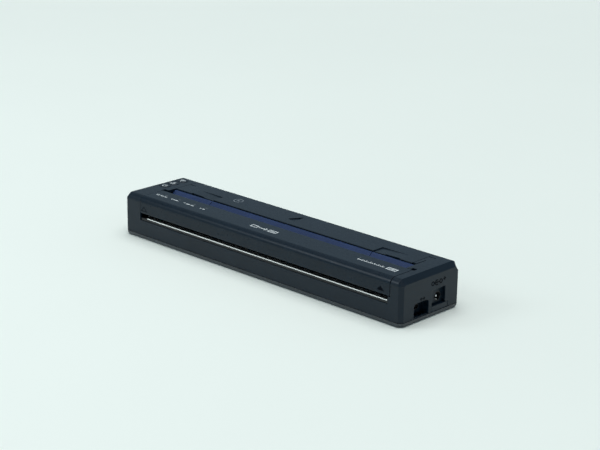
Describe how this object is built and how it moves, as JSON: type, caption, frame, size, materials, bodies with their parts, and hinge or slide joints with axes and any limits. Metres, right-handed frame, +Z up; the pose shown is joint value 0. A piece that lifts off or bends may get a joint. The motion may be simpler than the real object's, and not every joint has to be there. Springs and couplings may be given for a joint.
{
  "type": "a4 portable thermal printer",
  "caption": "Slim bar-shaped portable printer with a hinged release cover over its platen, a hinged rear cover, a paper feed slot, a tear bar and end sockets.",
  "frame": {"origin": "on the floor under the middle of the body", "axes": "+X along the body towards the sockets, +Y from the paper exit face to the back, +Z up"},
  "size_m": [0.255, 0.055, 0.0311],
  "materials": {
    "body_plastic": "fine-grained satin charcoal ABS",
    "base_plastic": "fine-grained satin charcoal ABS",
    "cover_plastic": "fine-grained satin charcoal ABS",
    "guide_plastic": "smooth navy blue",
    "latch_plastic": "plain black",
    "key_plastic": "smooth satin charcoal",
    "foot_rubber": "soft black rubber",
    "platen_rubber": "ground black rubber",
    "steel": "plain plated steel",
    "tear_steel": "bright stainless strip",
    "head_aluminium": "plain drawn bar",
    "cell_metal": "plain cell cans",
    "gear_plastic": "natural acetal",
    "pinion_brass": "turned brass",
    "bush_plastic": "black acetal",
    "head_glaze": "glazed ceramic",
    "head_resin": "poured black resin",
    "circuit_board": "green solder mask",
    "component_black": "moulded black",
    "component_pale": "pale moulded parts",
    "capacitor_metal": "plain cans",
    "ribbon_film": "amber film",
    "lead_sleeve": "red vinyl",
    "battery_wrap": "shrink sleeve",
    "bay_plastic": "plain black moulding",
    "lens_plastic": "smoked light guide"
  },
  "bodies": {
    "chassis": {"main_housing": "body_plastic", "base_tray": "base_plastic", "rubber_feet": "foot_rubber", "case_screws": "steel", "battery_bay": "bay_plastic", "battery_cells": "cell_metal", "battery_sleeve": "battery_wrap", "battery_leads": "lead_sleeve", "side_plate_left": "steel", "side_plate_right": "steel", "cross_stays": "steel", "gear_axles": "steel", "feed_motor": "steel", "platen_bushes": "bush_plastic", "exit_guide": "latch_plastic", "tear_bar": "tear_steel", "paper_guide_left": "guide_plastic", "paper_guide_centre": "guide_plastic", "paper_guide_right": "guide_plastic", "key_board": "circuit_board", "key_switches": "component_black", "main_board": "circuit_board", "board_screws": "steel", "board_chips": "component_black", "board_capacitors": "capacitor_metal", "board_connectors": "component_pale", "head_ribbon": "ribbon_film", "head_springs": "steel", "paper_sensor": "component_black", "usb_port": "steel", "usb_tongue": "component_black", "power_jack": "component_black", "power_jack_pin": "steel"},
    "release_cover_body": {"release_cover": "cover_plastic", "release_hinge_pins": "steel", "indicator_light_guides": "lens_plastic", "indicator_board": "circuit_board", "indicator_leds": "component_pale"},
    "release_latch_left_body": {"release_latch_left": "latch_plastic"},
    "release_latch_right_body": {"release_latch_right": "latch_plastic"},
    "rear_cover_body": {"rear_cover": "cover_plastic", "rear_hinge_pins": "steel"},
    "platen": {"platen_roller": "platen_rubber", "platen_shaft": "steel", "platen_gear": "gear_plastic"},
    "idler": {"idler_gear": "gear_plastic"},
    "transfer": {"transfer_gear": "gear_plastic"},
    "motor_rotor": {"motor_pinion": "pinion_brass"},
    "print_head": {"thermal_head": "head_glaze", "head_driver_cover": "head_resin", "head_bracket": "head_aluminium", "head_pivot_pins": "steel", "head_connector": "component_pale"},
    "paper_lever": {"paper_sensor_lever": "latch_plastic"},
    "power_key_body": {"power_key": "key_plastic"},
    "feed_key_body": {"feed_key": "key_plastic"},
    "wireless_key_body": {"wireless_key": "key_plastic"},
    "battery_cover_body": {"battery_cover": "base_plastic"},
    "battery_latch_body": {"battery_latch": "base_plastic"}
  },
  "joints": [
    {"name": "release_cover_hinge", "type": "hinge", "parent": "chassis", "child": "release_cover_body", "pos_m": [0, -0.0265, 0.0197], "axis": [1, 0, 0], "range_deg": [0, 95]},
    {"name": "release_latch_left_slide", "type": "slide", "parent": "release_cover_body", "child": "release_latch_left_body", "axis": [0, -1, 0], "range_m": [0, 0.001], "stiffness_N_per_m": 400, "springref_m": -0.001},
    {"name": "release_latch_right_slide", "type": "slide", "parent": "release_cover_body", "child": "release_latch_right_body", "axis": [0, -1, 0], "range_m": [0, 0.001], "stiffness_N_per_m": 400, "springref_m": -0.001},
    {"name": "rear_cover_hinge", "type": "hinge", "parent": "chassis", "child": "rear_cover_body", "pos_m": [0, 0.0266, 0.0159], "axis": [-1, 0, 0], "range_deg": [0, 80]},
    {"name": "platen_spin", "type": "hinge", "parent": "chassis", "child": "platen", "pos_m": [0, -0.01233, 0.02127], "axis": [1, 0, 0], "continuous": true},
    {"name": "idler_spin", "type": "hinge", "parent": "chassis", "child": "idler", "pos_m": [0, -0.00527, 0.01492], "axis": [1, 0, 0], "continuous": true},
    {"name": "transfer_spin", "type": "hinge", "parent": "chassis", "child": "transfer", "pos_m": [0, 0.00673, 0.01513], "axis": [1, 0, 0], "continuous": true},
    {"name": "motor_spin", "type": "hinge", "parent": "chassis", "child": "motor_rotor", "pos_m": [0, 0.014, 0.0118], "axis": [1, 0, 0], "continuous": true},
    {"name": "print_head_pivot", "type": "hinge", "parent": "chassis", "child": "print_head", "pos_m": [0, 0.00027, 0.01673], "axis": [1, 0, 0], "range_deg": [0, 2], "stiffness_Nm_per_rad": 2, "springref_deg": -3.44, "deforming": ["head_springs"]},
    {"name": "paper_lever_pivot", "type": "hinge", "parent": "chassis", "child": "paper_lever", "pos_m": [0, -0.0191, 0.0128], "axis": [1, 0, 0], "range_deg": [0, 25], "stiffness_Nm_per_rad": 0.0004, "springref_deg": -17.19},
    {"name": "power_key_press", "type": "slide", "parent": "chassis", "child": "power_key_body", "axis": [0, 0, -1], "range_m": [0, 0.0005], "stiffness_N_per_m": 300, "springref_m": -0.0005},
    {"name": "feed_key_press", "type": "slide", "parent": "chassis", "child": "feed_key_body", "axis": [0, 0, -1], "range_m": [0, 0.0005], "stiffness_N_per_m": 300, "springref_m": -0.0005},
    {"name": "wireless_key_press", "type": "slide", "parent": "chassis", "child": "wireless_key_body", "axis": [0, 0, -1], "range_m": [0, 0.0005], "stiffness_N_per_m": 300, "springref_m": -0.0005},
    {"name": "battery_cover_hinge", "type": "hinge", "parent": "chassis", "child": "battery_cover_body", "pos_m": [-0.0931, 0, 0.0013], "axis": [0, 1, 0], "range_deg": [0, 100]},
    {"name": "battery_latch_press", "type": "slide", "parent": "chassis", "child": "battery_latch_body", "axis": [-1, 0, 0], "range_m": [0, 0.001], "stiffness_N_per_m": 400, "springref_m": -0.001}
  ],
  "couplings": [
    {"joint": "idler_spin", "follows": "platen_spin", "ratio": -1.7143},
    {"joint": "transfer_spin", "follows": "platen_spin", "ratio": 2.4},
    {"joint": "motor_spin", "follows": "platen_spin", "ratio": -4}
  ]
}
